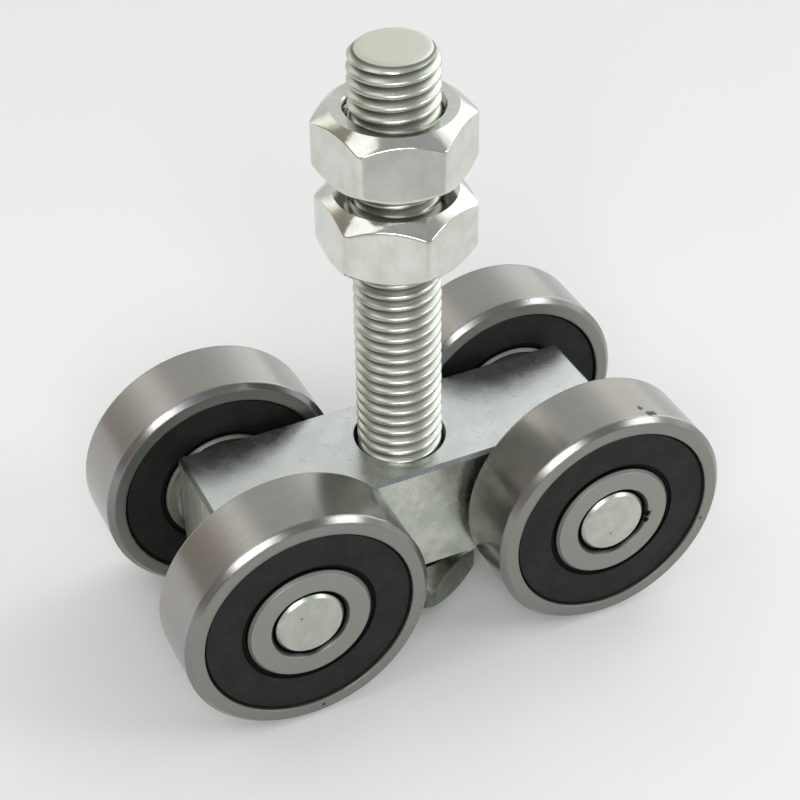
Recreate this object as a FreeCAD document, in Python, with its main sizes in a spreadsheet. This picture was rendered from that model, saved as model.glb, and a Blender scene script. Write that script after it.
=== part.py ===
import FreeCAD
import Part
import Sketcher
import os
import re

# Four-wheel hanger for a sliding door: a steel block with two cross axles carries
# four sealed ball bearings as wheels, and a hex bolt with two nuts stands in its middle.
# Millimetres. +Z up, X along the track, the wheels stand on z = 0 under the bolt's axis.

SIZES = {
    # sealed deep-groove ball bearing, 10 x 35 x 11
    "bearing_bore": 10.0,
    "bearing_outside": 35.0,
    "bearing_width": 11.0,
    "tread_edge_chamfer": 0.8,
    "bore_edge_chamfer": 0.7,
    "ball_circle": 22.5,
    "ball_diameter": 6.35,
    "race_clearance": 0.06,
    "race_groove_radius": 3.3,
    "inner_land_height": 1.15,
    "outer_land_height": 1.15,
    "inner_face_diameter": 17.7,
    "inner_face_chamfer": 0.35,
    "lip_step_depth": 1.6,
    # rubber seal, snapped into a groove of the outer ring
    "seal_diameter": 30.0,
    "seal_bite": 0.35,
    "seal_bead_height": 0.65,
    "seal_thickness": 1.0,
    "seal_recess": 0.4,
    "seal_edge_gap": 0.35,
    "lip_band_width": 0.7,
    "lip_band_drop": 0.45,
    "lip_thickness": 0.45,
    "lip_clearance": 0.08,
    # pressed ball cage
    "cage_sheet": 0.5,
    "cage_band_width": 2.6,
    "cage_pocket_clearance": 0.08,
    "cage_seal_clearance": 0.2,
    "rivet_diameter": 1.0,
    "rivet_head_height": 0.3,
    # block and axles
    "block_width": 18.0,
    "block_height": 18.0,
    "block_end_margin": 7.0,
    "block_edge_chamfer": 0.5,
    "wheel_gap": 11.0,
    "axle_end_chamfer": 0.5,
    "spacer_thickness": 1.0,
    "spacer_wall": 2.5,
    # hanger bolt and nuts, M12
    "bolt_diameter": 12.0,
    "bolt_length": 80.0,
    "bolt_end_chamfer": 1.2,
    "bolt_hole_clearance": 0.4,
    "bolt_hole_chamfer": 0.15,
    "hex_across_flats": 18.8,
    "hex_face_diameter": 16.5,
    "head_height": 7.5,
    "head_gap": 1.0,
    "nut_height": 9.65,
    "nut_gap": 2.6,
    "nut_thread_clearance": 0.05,
    "nut_countersink": 0.6,
    "bolt_stub": 8.1,
}

# Sizes that follow from the driving ones.
DERIVED = {
    "axle_height": "bearing_outside / 2",
    "wheelbase": "bearing_outside + wheel_gap",
    "block_length": "wheelbase + 2 * block_end_margin",
    "block_bottom": "axle_height - block_height / 2",
    "wheel_offset": "block_width / 2 + spacer_thickness + bearing_width / 2",
    "spacer_offset": "block_width / 2 + spacer_thickness / 2",
    "axle_length": "2 * wheel_offset + bearing_width",
    "spacer_diameter": "bearing_bore + 2 * spacer_wall",
    "ball_reach": "ball_diameter / 2 + race_clearance",
    "inner_land": "ball_circle / 2 - ball_reach + inner_land_height",
    "outer_land": "ball_circle / 2 + ball_reach - outer_land_height",
    "seal_top": "bearing_width / 2 - seal_recess",
    "seal_floor": "seal_top - seal_thickness",
    "bead_radius": "seal_diameter / 2 + seal_bite",
    "bead_top": "seal_floor + seal_bead_height",
    "lip_top": "seal_top - lip_band_drop",
    "lip_radius": "inner_face_diameter / 2 + lip_clearance",
    "pocket_radius": "ball_diameter / 2 + cage_pocket_clearance",
    "cage_room": "2 * (seal_floor - cage_seal_clearance)",
    "rim_width": "(bearing_outside - seal_diameter) / 2",
    "tread_edge_limit": "min(tread_edge_chamfer; rim_width * 0.45)",
    "bolt_bottom": "block_bottom - head_gap - head_height",
    "bolt_end": "bolt_bottom + head_height + bolt_length",
    "upper_nut_bottom": "bolt_end - bolt_stub - nut_height",
    "lower_nut_bottom": "upper_nut_bottom - nut_gap - nut_height",
    "hex_corner_radius": "hex_across_flats / 2 / cos(30 deg)",
}

BALL_COUNT = 7
HEX_SIDES = 6
MATCH_TOLERANCE = 1e-4
HEX_BEVEL_SLOPE = "tan(37 deg)"
HEAD_SEAT_SLOPE = "tan(45 deg)"
UPPER_NUT_TURN = 11.0
LOWER_NUT_TURN = -2.0

# Wheel name, side along X and side along Y.
WHEELS = {
    "front_left": (-1, -1),
    "front_right": (1, -1),
    "back_left": (-1, 1),
    "back_right": (1, 1),
}

X_AXIS = FreeCAD.Vector(1, 0, 0)
Z_AXIS = FreeCAD.Vector(0, 0, 1)
ORIGIN_POINT = (-1, 1)
SKETCH_X_INDEX = -1
SKETCH_Y_INDEX = -2

doc = FreeCAD.newDocument("HangerWheel")
sheet = doc.addObject("Spreadsheet::Sheet", "Sizes")
parts = []


def fill_sheet():
    """Writes the driving sizes, then the sizes worked out from them, each under its own alias."""
    row = 1
    for table in (SIZES, DERIVED):
        for alias, content in table.items():
            sheet.set(f"A{row}", alias)
            sheet.set(f"B{row}", str(content) if table is SIZES else "=" + content)
            sheet.setAlias(f"B{row}", alias)
            row += 1
    doc.recompute()


def bound(formula):
    """Turns a formula of size names into one that reads them from the sheet."""
    def with_sheet(match):
        word = match.group()
        return f"Sizes.{word}" if word in SIZES or word in DERIVED else word

    return re.sub("[a-z_]+", with_sheet, formula)


def value_of(formula):
    """The number that a formula of size names gives now."""
    return float(sheet.evalExpression(bound(formula)))


def tie(thing, prop, formula):
    thing.setExpression(prop, bound(formula))


def keep(thing):
    """Counts an object among the sub-parts that are written out."""
    parts.append(thing)
    return thing


def new_body(label):
    body = doc.addObject("PartDesign::Body", label)
    body.Label = label
    return keep(body)


def new_sketch(body, name, plane_role):
    sketch = body.newObject("Sketcher::SketchObject", f"{body.Name}_{name}")
    plane = next(f for f in body.Origin.OriginFeatures if f.Role == plane_role)
    sketch.AttachmentSupport = (plane, [""])
    sketch.MapMode = "FlatFace"
    return sketch


def hold_point(sketch, geometry, point, across, up):
    """Ties one sketch point to its formulas, measured from the sketch's origin."""
    axes = (("DistanceX", across, SKETCH_Y_INDEX), ("DistanceY", up, SKETCH_X_INDEX))
    for kind, formula, axis in axes:
        if formula == "0":
            sketch.addConstraint(Sketcher.Constraint("PointOnObject", geometry, point, axis))
            continue
        start, end, size = ORIGIN_POINT, (geometry, point), formula
        if formula.startswith("-"):
            start, end, size = end, start, formula[1:].strip()
        constraint = Sketcher.Constraint(kind, *start, *end, value_of(size))
        index = sketch.addConstraint(constraint)
        tie(sketch, f"Constraints[{index}]", size)


def draw_outline(sketch, corners):
    """Draws a closed outline of straight lines whose corners are formulas."""
    points = [FreeCAD.Vector(value_of(across), value_of(up), 0) for across, up in corners]
    first = sketch.GeometryCount
    for here, there in zip(points, points[1:] + points[:1]):
        sketch.addGeometry(Part.LineSegment(here, there))
    count = len(points)
    for index in range(count):
        line, following = first + index, first + (index + 1) % count
        sketch.addConstraint(Sketcher.Constraint("Coincident", line, 2, following, 1))
    for index, (across, up) in enumerate(corners):
        hold_point(sketch, first + index, 1, across, up)


def draw_circle(sketch, radius, across="0", up="0"):
    centre = FreeCAD.Vector(value_of(across), value_of(up), 0)
    circle = sketch.addGeometry(Part.Circle(centre, Z_AXIS, value_of(radius)))
    index = sketch.addConstraint(Sketcher.Constraint("Radius", circle, value_of(radius)))
    tie(sketch, f"Constraints[{index}]", radius)
    hold_point(sketch, circle, 3, across, up)


def draw_hexagon(sketch):
    """Draws the hexagon of the bolt head and nuts, with two corners on the sketch's Y axis."""
    radius = value_of("hex_corner_radius")
    turn = FreeCAD.Rotation(Z_AXIS, 360 / HEX_SIDES)
    points = [FreeCAD.Vector(0, radius, 0)]
    while len(points) < HEX_SIDES:
        points.append(turn.multVec(points[-1]))
    for here, there in zip(points, points[1:] + points[:1]):
        sketch.addGeometry(Part.LineSegment(here, there))
    circle = sketch.addGeometry(Part.Circle(FreeCAD.Vector(), Z_AXIS, radius), True)
    sketch.addConstraint(Sketcher.Constraint("Coincident", circle, 3, *ORIGIN_POINT))
    index = sketch.addConstraint(Sketcher.Constraint("Radius", circle, radius))
    tie(sketch, f"Constraints[{index}]", "hex_corner_radius")
    for side in range(HEX_SIDES):
        following = (side + 1) % HEX_SIDES
        sketch.addConstraint(Sketcher.Constraint("Coincident", side, 2, following, 1))
        sketch.addConstraint(Sketcher.Constraint("PointOnObject", side, 1, circle))
        if side:
            sketch.addConstraint(Sketcher.Constraint("Equal", 0, side))
    sketch.addConstraint(Sketcher.Constraint("PointOnObject", 0, 1, SKETCH_Y_INDEX))


def turn_profile(body, name, outlines, kind="PartDesign::Revolution"):
    """Revolves outlines of (radius, height) corners about the body's Z axis."""
    sketch = new_sketch(body, f"{name}_profile", "XZ_Plane")
    for corners in outlines:
        draw_outline(sketch, corners)
    feature = body.newObject(kind, f"{body.Name}_{name}")
    feature.Profile = sketch
    feature.ReferenceAxis = (sketch, ["V_Axis"])
    feature.Angle = 360
    doc.recompute()
    return feature


def cut_race(body, centre_radius):
    """Grinds the ball groove into a ring, a circular arc about the ring's middle."""
    sketch = new_sketch(body, "race_profile", "XZ_Plane")
    draw_circle(sketch, "race_groove_radius", centre_radius)
    groove = body.newObject("PartDesign::Groove", f"{body.Name}_race")
    groove.Profile = sketch
    groove.ReferenceAxis = (sketch, ["V_Axis"])
    groove.Angle = 360
    doc.recompute()


def pad(body, name, sketch, length):
    feature = body.newObject("PartDesign::Pad", f"{body.Name}_{name}")
    feature.Profile = sketch
    tie(feature, "Length", length)
    doc.recompute()
    return feature


def cut_through(body, name, sketch):
    """Cuts a sketch through the whole body, both ways from its plane."""
    before = body.Tip.Shape.Volume
    pocket = body.newObject("PartDesign::Pocket", f"{body.Name}_{name}")
    pocket.Profile = sketch
    pocket.Type = "ThroughAll"
    pocket.Midplane = True
    doc.recompute()
    if pocket.Shape.Volume >= before:
        raise RuntimeError(f"{pocket.Name} cut nothing")


def chamfer_edges(body, name, size, wanted):
    """Chamfers the edges of the body's last feature that wanted picks."""
    base = body.Tip
    edges = [f"Edge{i}" for i, edge in enumerate(base.Shape.Edges, 1) if wanted(edge)]
    feature = body.newObject("PartDesign::Chamfer", f"{body.Name}_{name}")
    feature.Base = (base, edges)
    tie(feature, "Size", size)
    doc.recompute()


def is_circle(edge, radius):
    return isinstance(edge.Curve, Part.Circle) and abs(edge.Curve.Radius - radius) < MATCH_TOLERANCE


def is_straight(edge):
    return isinstance(edge.Curve, (Part.Line, Part.LineSegment))


def signed(side, formula):
    return formula if side > 0 else f"-({formula})"


def place(thing, across="0", along="0", up="0", rotation=FreeCAD.Rotation()):
    """Turns an object, then ties its place to the sheet."""
    thing.Placement = FreeCAD.Placement(FreeCAD.Vector(), rotation)
    for axis, formula in (("x", across), ("y", along), ("z", up)):
        tie(thing, f"Placement.Base.{axis}", formula)


def facing(side):
    """The turn that points an object's Z axis along -Y (front) or +Y (back)."""
    return FreeCAD.Rotation(X_AXIS, -90 * side)


def place_in_wheel(thing, sides, face_side=None):
    side_x, side_y = sides
    place(
        thing,
        signed(side_x, "wheelbase / 2"),
        signed(side_y, "wheel_offset"),
        "axle_height",
        facing(side_y if face_side is None else face_side),
    )


def make_block():
    """Square steel bar with two cross holes for the axles and one upright hole for the bolt."""
    body = new_body("carriage_block")
    sketch = new_sketch(body, "bar_section", "XY_Plane")
    half_length, half_width = "block_length / 2", "block_width / 2"
    draw_outline(
        sketch,
        [
            (f"-({half_length})", f"-({half_width})"),
            (half_length, f"-({half_width})"),
            (half_length, half_width),
            (f"-({half_length})", half_width),
        ],
    )
    pad(body, "bar", sketch, "block_height")
    chamfer_edges(body, "edges", "block_edge_chamfer", is_straight)
    bolt_hole = new_sketch(body, "bolt_hole_circle", "XY_Plane")
    draw_circle(bolt_hole, "bolt_diameter / 2 + bolt_hole_clearance")
    cut_through(body, "bolt_hole", bolt_hole)
    hole_radius = value_of("bolt_diameter / 2 + bolt_hole_clearance")
    chamfer_edges(
        body,
        "bolt_hole_edges",
        "bolt_hole_chamfer",
        lambda edge: is_circle(edge, hole_radius),
    )
    axle_holes = new_sketch(body, "axle_hole_circles", "XZ_Plane")
    for side in (-1, 1):
        draw_circle(axle_holes, "bearing_bore / 2", signed(side, "wheelbase / 2"), "block_height / 2")
    cut_through(body, "axle_holes", axle_holes)
    place(body, up="block_bottom")


def make_axle(label, side):
    """Cross axle that carries one front and one back wheel, chamfered at both ends."""
    body = new_body(label)
    sketch = new_sketch(body, "section", "XY_Plane")
    draw_circle(sketch, "bearing_bore / 2")
    pad(body, "bar", sketch, "axle_length").Midplane = True
    doc.recompute()
    radius = value_of("bearing_bore / 2")
    chamfer_edges(
        body,
        "ends",
        "axle_end_chamfer",
        lambda edge: is_circle(edge, radius),
    )
    place(body, signed(side, "wheelbase / 2"), "0", "axle_height", facing(-1))


def make_spacer(wheel, sides):
    """Collar that keeps a wheel's inner ring off the block."""
    body = new_body(f"{wheel}_spacer")
    sketch = new_sketch(body, "section", "XY_Plane")
    draw_circle(sketch, "spacer_diameter / 2")
    draw_circle(sketch, "bearing_bore / 2")
    pad(body, "collar", sketch, "spacer_thickness").Midplane = True
    doc.recompute()
    side_x, side_y = sides
    place(
        body,
        signed(side_x, "wheelbase / 2"),
        signed(side_y, "spacer_offset"),
        "axle_height",
        facing(side_y),
    )


def make_outer_ring(wheel, sides):
    """Outer ring of a bearing: the wheel's tread, with a seal groove behind each face."""
    body = new_body(f"{wheel}_outer_ring")
    tread, face = "bearing_outside / 2", "bearing_width / 2"
    rim, land = "seal_diameter / 2", "outer_land"
    half = [
        (tread, face),
        (rim, face),
        (rim, "bead_top"),
        ("bead_radius", "bead_top"),
        ("bead_radius", "seal_floor"),
        (land, "seal_floor"),
    ]
    mirrored = [(radius, f"-({height})") for radius, height in reversed(half)]
    turn_profile(body, "turned", [half + mirrored])
    outer_radius = value_of(tread)
    chamfer_edges(
        body,
        "tread_edges",
        "tread_edge_limit",
        lambda edge: is_circle(edge, outer_radius),
    )
    cut_race(body, "ball_circle / 2 + ball_reach - race_groove_radius")
    place_in_wheel(body, sides)


def make_inner_ring(wheel, sides):
    """Inner ring of a bearing, stepped beside each face for the seal's lip."""
    body = new_body(f"{wheel}_inner_ring")
    bore, face = "bearing_bore / 2", "bearing_width / 2"
    outside = "inner_face_diameter / 2"
    half = [
        (bore, f"{face} - bore_edge_chamfer"),
        (f"{bore} + bore_edge_chamfer", face),
        (f"{outside} - inner_face_chamfer", face),
        (outside, f"{face} - inner_face_chamfer"),
        (outside, f"{face} - lip_step_depth"),
        ("inner_land", f"{face} - lip_step_depth"),
    ]
    mirrored = [(radius, f"-({height})") for radius, height in reversed(half)]
    turn_profile(body, "turned", [half + mirrored])
    cut_race(body, "ball_circle / 2 - ball_reach + race_groove_radius")
    place_in_wheel(body, sides)


def make_seal(label, sides, face_side):
    """Rubber seal: a bead in the outer ring's groove, a flat face and a thinner lip."""
    body = new_body(label)
    band = "lip_radius + lip_band_width"
    edge = "seal_diameter / 2 - seal_edge_gap"
    turn_profile(
        body,
        "moulded",
        [
            [
                ("lip_radius", "lip_top"),
                (band, "lip_top"),
                (band, "seal_top"),
                (edge, "seal_top"),
                (edge, "bead_top"),
                ("bead_radius", "bead_top"),
                ("bead_radius", "seal_floor"),
                (band, "seal_floor"),
                (band, "lip_top - lip_thickness"),
                ("lip_radius", "lip_top - lip_thickness"),
            ]
        ],
    )
    place_in_wheel(body, sides, face_side)


def round_the_ball_circle(radius, index):
    """The two formulas of one ball's place, or of the place between two balls at a half index."""
    angle = 360 * index / BALL_COUNT
    return f"({radius}) * cos({angle} deg)", f"({radius}) * sin({angle} deg)"


def pocket_cylinders(name, radius):
    """One upright-walled pocket for each ball: a cylinder along the ball's radius."""
    start = "ball_circle / 2 - cage_band_width"
    cylinders = []
    for index in range(BALL_COUNT):
        cylinder = doc.addObject("Part::Cylinder", f"{name}_{index + 1}")
        tie(cylinder, "Radius", radius)
        tie(cylinder, "Height", "2 * cage_band_width")
        outward = FreeCAD.Rotation(Z_AXIS, 360 * index / BALL_COUNT).multVec(X_AXIS)
        across, along = round_the_ball_circle(start, index)
        place(cylinder, across, along, rotation=FreeCAD.Rotation(Z_AXIS, outward))
        cylinders.append(cylinder)
    return cylinders


def make_balls(wheel, sides):
    """The bearing's balls, a group of separate solids."""
    label = f"{wheel}_balls"
    balls = []
    for index in range(BALL_COUNT):
        ball = doc.addObject("Part::Sphere", f"{wheel}_ball_{index + 1}")
        tie(ball, "Radius", "ball_diameter / 2")
        place(ball, *round_the_ball_circle("ball_circle / 2", index))
        balls.append(ball)
    group = doc.addObject("Part::Compound", label)
    group.Label = label
    group.Links = balls
    doc.recompute()
    place_in_wheel(keep(group), sides)


def make_tube(name, inner, outer, height):
    """A ring about Z, half above and half below the middle plane."""
    walls = []
    for word, radius in (("outside", outer), ("inside", inner)):
        cylinder = doc.addObject("Part::Cylinder", f"{name}_{word}")
        tie(cylinder, "Radius", radius)
        tie(cylinder, "Height", height)
        place(cylinder, up=f"-({height}) / 2")
        walls.append(cylinder)
    tube = doc.addObject("Part::Cut", name)
    tube.Base, tube.Tool = walls
    return tube


def make_cage(wheel, sides):
    """Pressed cage: two ribbons with ball pockets, riveted together between the balls."""
    label = f"{wheel}_cage"
    inner = "ball_circle / 2 - cage_band_width / 2"
    outer = "ball_circle / 2 + cage_band_width / 2"
    rivets = []
    for index in range(BALL_COUNT):
        rivet = doc.addObject("Part::Cylinder", f"{wheel}_rivet_{index + 1}")
        tie(rivet, "Radius", "rivet_diameter / 2")
        tie(rivet, "Height", "2 * (cage_sheet + rivet_head_height)")
        across, along = round_the_ball_circle("ball_circle / 2", index + 0.5)
        place(rivet, across, along, "-(cage_sheet + rivet_head_height)")
        rivets.append(rivet)
    pressed = doc.addObject("Part::MultiFuse", f"{wheel}_pressed")
    webs = make_tube(f"{wheel}_webs", inner, outer, "2 * cage_sheet")
    pressed.Shapes = [webs] + pocket_cylinders(f"{wheel}_pocket_back", "pocket_radius + cage_sheet")
    band = make_tube(f"{wheel}_band", inner, outer, "cage_room")
    ribbon = doc.addObject("Part::Common", f"{wheel}_ribbon")
    ribbon.Base, ribbon.Tool = band, pressed
    riveted = doc.addObject("Part::MultiFuse", f"{wheel}_riveted")
    riveted.Shapes = [ribbon] + rivets
    pockets = doc.addObject("Part::MultiFuse", f"{wheel}_pockets")
    pockets.Shapes = pocket_cylinders(f"{wheel}_pocket", "pocket_radius")
    cage = doc.addObject("Part::Cut", label)
    cage.Label = label
    cage.Base, cage.Tool = riveted, pockets
    doc.recompute()
    place_in_wheel(keep(cage), sides)


def corner_cut(height, slope, up):
    """Corners of the ring that bevels a hexagon's six corners at one end; up is 1 or -1."""
    face, outside = "hex_face_diameter / 2", "hex_across_flats"
    drop = f"({outside} - {face}) * {slope}"
    low = f"{height} - {drop}" if up > 0 else f"{height} + {drop}"
    return [(face, height), (outside, height), (outside, low)]


def bevel_hexagon(body, bottom, top, bottom_slope, top_slope):
    """Bevels the corners of a hexagon at both ends, as turned from bar."""
    before = body.Tip.Shape.Volume
    cuts = [corner_cut(bottom, bottom_slope, -1), corner_cut(top, top_slope, 1)]
    for name, corners in zip(("bottom_bevel", "top_bevel"), cuts):
        turn_profile(body, name, [corners], "PartDesign::Groove")
    if body.Tip.Shape.Volume >= before:
        raise RuntimeError(f"{body.Label} was not bevelled")


def make_bolt():
    """Hex bolt, head down and shank up through the block. The shank is the thread's outside."""
    body = new_body("hanger_bolt")
    head = new_sketch(body, "head_hexagon", "XY_Plane")
    draw_hexagon(head)
    pad(body, "head", head, "head_height")
    bevel_hexagon(body, "0", "head_height", HEX_BEVEL_SLOPE, HEAD_SEAT_SLOPE)
    shank = new_sketch(body, "shank_circle", "XY_Plane")
    draw_circle(shank, "bolt_diameter / 2")
    pad(body, "shank", shank, "head_height + bolt_length")
    end_height = value_of("head_height + bolt_length")
    chamfer_edges(
        body,
        "end",
        "bolt_end_chamfer",
        lambda edge: edge.BoundBox.ZMin > end_height - MATCH_TOLERANCE,
    )
    place(body, up="bolt_bottom")


def make_nut(label, bottom, turn):
    """Hex nut, bevelled at both ends and countersunk at both mouths of its thread."""
    body = new_body(label)
    hexagon = new_sketch(body, "hexagon", "XY_Plane")
    draw_hexagon(hexagon)
    pad(body, "blank", hexagon, "nut_height")
    bevel_hexagon(body, "0", "nut_height", HEX_BEVEL_SLOPE, HEX_BEVEL_SLOPE)
    bore = "bolt_diameter / 2 + nut_thread_clearance"
    circle = new_sketch(body, "thread_circle", "XY_Plane")
    draw_circle(circle, bore)
    cut_through(body, "thread_bore", circle)
    bore_radius = value_of(bore)
    chamfer_edges(
        body,
        "mouths",
        "nut_countersink",
        lambda edge: is_circle(edge, bore_radius),
    )
    place(body, up=bottom, rotation=FreeCAD.Rotation(Z_AXIS, turn))


def check_and_write():
    """Stops on any failed feature or unsound solid, then writes one file for each sub-part."""
    doc.recompute()
    for thing in doc.Objects:
        if "Invalid" in thing.State or "Error" in thing.State:
            raise RuntimeError(f"{thing.Name} failed: {thing.State}")
    for part in parts:
        if part.Shape.isNull() or not part.Shape.isValid() or not part.Shape.Solids:
            raise RuntimeError(f"{part.Label} has no sound solid")
    os.makedirs("parts", exist_ok=True)
    for part in parts:
        part.Shape.exportStep(f"parts/{part.Label}.step")
        box = part.Shape.BoundBox
        print(f"{part.Label}: {len(part.Shape.Solids)} solids, {part.Shape.Volume:.1f} mm3, "
              f"x {box.XMin:.2f}..{box.XMax:.2f} y {box.YMin:.2f}..{box.YMax:.2f} "
              f"z {box.ZMin:.2f}..{box.ZMax:.2f}")


fill_sheet()
make_block()
make_axle("left_axle", -1)
make_axle("right_axle", 1)
for wheel_name, wheel_sides in WHEELS.items():
    make_spacer(wheel_name, wheel_sides)
    make_outer_ring(wheel_name, wheel_sides)
    make_inner_ring(wheel_name, wheel_sides)
    make_balls(wheel_name, wheel_sides)
    make_cage(wheel_name, wheel_sides)
    make_seal(f"{wheel_name}_outer_seal", wheel_sides, wheel_sides[1])
    make_seal(f"{wheel_name}_inner_seal", wheel_sides, -wheel_sides[1])
make_bolt()
make_nut("lower_nut", "lower_nut_bottom", LOWER_NUT_TURN)
make_nut("upper_nut", "upper_nut_bottom", UPPER_NUT_TURN)
check_and_write()
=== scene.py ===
import math
import bmesh
import bpy
from mathutils import Matrix, Vector


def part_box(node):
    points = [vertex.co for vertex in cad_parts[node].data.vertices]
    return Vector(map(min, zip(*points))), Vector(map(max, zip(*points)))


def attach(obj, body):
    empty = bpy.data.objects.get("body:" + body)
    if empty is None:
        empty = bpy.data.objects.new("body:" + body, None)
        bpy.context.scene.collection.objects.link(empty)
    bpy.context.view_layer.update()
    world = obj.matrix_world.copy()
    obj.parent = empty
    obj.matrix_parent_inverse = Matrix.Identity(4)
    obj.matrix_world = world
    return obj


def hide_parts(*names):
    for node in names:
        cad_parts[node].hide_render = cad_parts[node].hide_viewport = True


# Sliding door hanger: a zinc plated block on four sealed ball bearings, with an upright
# threaded bolt and two nuts. The scene is in metres; sizes are named in millimetres.

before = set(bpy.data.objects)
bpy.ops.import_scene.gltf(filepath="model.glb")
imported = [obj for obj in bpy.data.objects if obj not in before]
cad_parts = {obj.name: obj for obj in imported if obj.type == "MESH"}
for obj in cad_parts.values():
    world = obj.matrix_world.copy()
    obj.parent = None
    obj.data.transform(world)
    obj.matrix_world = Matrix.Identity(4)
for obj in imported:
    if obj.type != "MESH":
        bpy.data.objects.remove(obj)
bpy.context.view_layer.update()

MM = 0.001
WHEELS = ("front_left", "front_right", "back_left", "back_right")


def span(node):
    """Lowest and highest corner of a solid at rest, in millimetres."""
    low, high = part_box(node)
    return Vector(low) / MM, Vector(high) / MM


# Rings, seals and block
RING_LOW, RING_HIGH = span("front_right_outer_ring")
HALF_BASE = (RING_LOW.x + RING_HIGH.x) / 2
AXLE_HEIGHT = (RING_LOW.z + RING_HIGH.z) / 2
RING_RADIUS = (RING_HIGH.x - RING_LOW.x) / 2
RING_BEVEL = 0.8
SEAL_EDGE_RADIUS = 14.65
LIP_BAND_RADIUS = 9.63
INNER_FACE_RADIUS = 8.85
INNER_FACE_BEVEL = 0.35
BORE_RADIUS = 5.0
BORE_BEVEL = 0.7
BLOCK_TOP = span("carriage_block")[1].z

# Thread: steps are those of one turn, and points those of the profile over one pitch
THREAD_PITCH = 1.75
THREAD_CREST = 5.95
THREAD_ROOT = 4.98
THREAD_SINK = 0.4
THREAD_STEPS = 72
THREAD_POINTS = 12
CREST_FULLNESS = 0.7
WELD_DISTANCE = 0.5e-6

# Bolt and nuts
BOLT_END = span("hanger_bolt")[1].z
BOLT_END_FLAT = 4.75
BOLT_END_ROUND = 0.6
BOLT_END_INSET = 0.3
RIM_TOLERANCE = 0.001
HEAD_HEIGHT = 7.5
HEAD_CENTRE_RADIUS = 0.6
HEAD_SEAT_SLOPE = 1.0
NUT_HEIGHT = span("upper_nut")[1].z - span("upper_nut")[0].z
NUT_BORE = 6.06
NUT_GROOVE = 6.55
NUT_MOUTH = 6.65
NUT_TURNS = {"lower_nut": -2.0, "upper_nut": 11.0}

# Hexagons: turns are degrees along a rounded corner, and margins keep the shading of flats even
ACROSS_FLATS = 18.8
FACE_RADIUS = 8.25
FACE_MARGIN = 0.25
FLAT_MARGIN = 0.3
FLAT_STEPS = 12
HEX_SLOPE = math.tan(math.radians(37))
BEVEL_START = 0.25
CORNER_ROUND = 1.1
CORNER_TURNS = (-30, -15, 0, 15, 30)
EDGE_ROUND = 0.12
EDGE_SHARE = 0.6
EDGE_INWARD = 0.3
EDGE_ALONG = 0.05

# Edges that turn by more than these degrees stay crisp
CRISP_BOLT = 40
CRISP_NUT = 32
# Samples with which the light sees a ring's edge as round
SOFT_EDGE_SAMPLES = 6

# Spots of rust and dirt on the rings and axle ends: x, y, z and size
RING_SPOTS = (
    (27.7, -18.3, 34.4, 0.54),
    (28.4, -19.7, 34.2, 0.78),
    (29.1, -19.6, 34.0, 0.70),
    (37.7, -21.0, 12.5, 0.38),
    (-21.8, -21.0, 1.7, 0.36),
    (26.0, 10.3, 34.6, 0.35),
)
INNER_RING_SPOTS = ((28.6, -21.0, 16.9, 0.80), (28.4, -21.0, 15.8, 0.65))
AXLE_SPOTS = ((-24.3, -21.0, 19.1, 0.24), (22.75, -21.0, 15.5, 0.22))


# Node helpers

def put(tree, kind, sockets=None, **settings):
    """Adds a shader node, sets it up, and links or fills the sockets that are named."""
    made = tree.nodes.new("ShaderNode" + kind)
    for name, value in settings.items():
        setattr(made, name, value)
    for name, value in (sockets or {}).items():
        fill(tree, made.inputs[name], value)
    return made


def fill(tree, socket, value):
    """Links the socket to another one, or sets it to a plain value."""
    if isinstance(value, bpy.types.NodeSocket):
        tree.links.new(value, socket)
    else:
        socket.default_value = value


def calc(tree, operation, first, second=None):
    """One step of arithmetic on two sockets or numbers."""
    made = put(tree, "Math", operation=operation)
    fill(tree, made.inputs[0], first)
    if second is not None:
        fill(tree, made.inputs[1], second)
    return made.outputs[0]


def between(tree, value, low, high, to_low=0.0, to_high=1.0, smooth=False):
    """Maps a value from one range to another and holds it there."""
    made = put(
        tree,
        "MapRange",
        {"Value": value, "From Min": low, "From Max": high, "To Min": to_low, "To Max": to_high},
        interpolation_type="SMOOTHSTEP" if smooth else "LINEAR",
    )
    return made.outputs["Result"]


def tint(tree, factor, first, second):
    """Mixes two colours by a factor."""
    made = put(tree, "Mix", data_type="RGBA")
    fill(tree, made.inputs["Factor"], factor)
    fill(tree, made.inputs["A"], first)
    fill(tree, made.inputs["B"], second)
    return made.outputs["Result"]


def noise(tree, place, scale, detail=3.0, roughness=0.55):
    """Soft noise between 0 and 1."""
    made = put(
        tree,
        "TexNoise",
        {"Vector": place, "Scale": scale, "Detail": detail, "Roughness": roughness},
    )
    return made.outputs["Fac"]


def stretched(tree, place, scale):
    """The place with each axis scaled, so that a pattern on it is drawn out."""
    return put(tree, "Mapping", {"Vector": place, "Scale": scale}).outputs[0]


def apart(tree, vector):
    """The X, Y and Z of a vector."""
    return put(tree, "SeparateXYZ", {"Vector": vector}).outputs


def millimetres(tree):
    """The piece's own place at rest, in millimetres."""
    place = put(tree, "TexCoord").outputs["Object"]
    return put(tree, "VectorMath", {0: place, "Scale": 1 / MM}, operation="SCALE").outputs[0]


def new_group(name, inputs, outputs):
    """An empty node group with number inputs (name: value) and number outputs."""
    group = bpy.data.node_groups.new(name, "ShaderNodeTree")
    for socket, value in inputs.items():
        made = group.interface.new_socket(socket, in_out="INPUT", socket_type="NodeSocketFloat")
        made.default_value = value
    for socket in outputs:
        group.interface.new_socket(socket, in_out="OUTPUT", socket_type="NodeSocketFloat")
    given = group.nodes.new("NodeGroupInput")
    result = group.nodes.new("NodeGroupOutput")
    return group, given.outputs, result.inputs


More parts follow.
